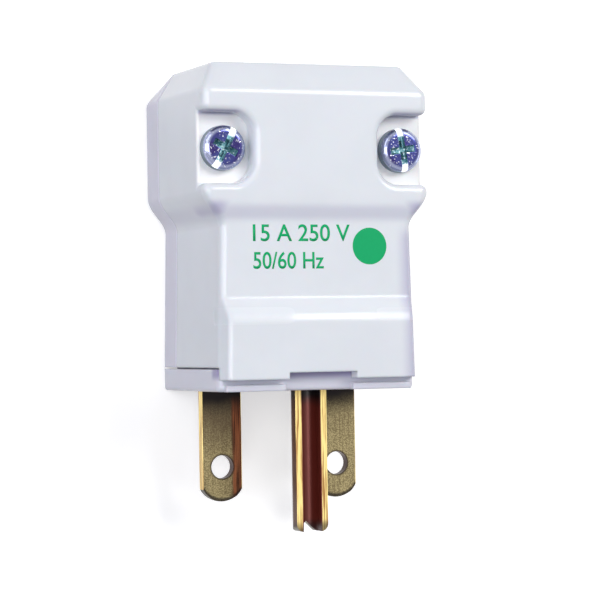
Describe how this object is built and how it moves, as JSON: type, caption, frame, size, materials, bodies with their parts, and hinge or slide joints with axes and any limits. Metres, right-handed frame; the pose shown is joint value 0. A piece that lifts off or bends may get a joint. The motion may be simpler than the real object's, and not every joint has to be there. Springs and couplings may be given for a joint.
{
  "type": "straight blade plug",
  "caption": "Straight blade power plug: split nylon housing with a flared head and screw pockets, flat brass blades, a folded ground pin and a cord clamp.",
  "frame": {"origin": "centre of the bounding box on the plane that the rear face lies on", "axes": "+X to the right seen from the front, +Y from the blade tips to the cord end, +Z from the flat rear face to the front"},
  "size_m": [0.0348, 0.0672, 0.0266],
  "materials": {
    "housing": "white moulded nylon, semi-gloss",
    "inner_plastic": "pale grey moulded nylon",
    "contact_brass": "rolled brass strip, slightly stained",
    "terminal_brass": "turned brass",
    "ground_green": "green dyed steel",
    "screw_steel": "bright zinc plate",
    "washer_plastic": "dark fibre"
  },
  "bodies": {
    "root": {"front_housing": "housing", "rear_housing": "housing", "contact_base": "housing", "contact_retainer": "inner_plastic", "left_blade": "contact_brass", "right_blade": "contact_brass", "ground_pin": "contact_brass", "left_terminal_plate": "contact_brass", "right_terminal_plate": "contact_brass", "ground_terminal_plate": "contact_brass", "left_terminal_screw": "terminal_brass", "right_terminal_screw": "terminal_brass", "ground_terminal_screw": "ground_green", "left_assembly_screw": "screw_steel", "right_assembly_screw": "screw_steel", "left_screw_washer": "washer_plastic", "right_screw_washer": "washer_plastic", "left_screw_insert": "terminal_brass", "right_screw_insert": "terminal_brass", "front_cord_jaw": "inner_plastic", "rear_cord_jaw": "inner_plastic"}
  },
  "joints": []
}
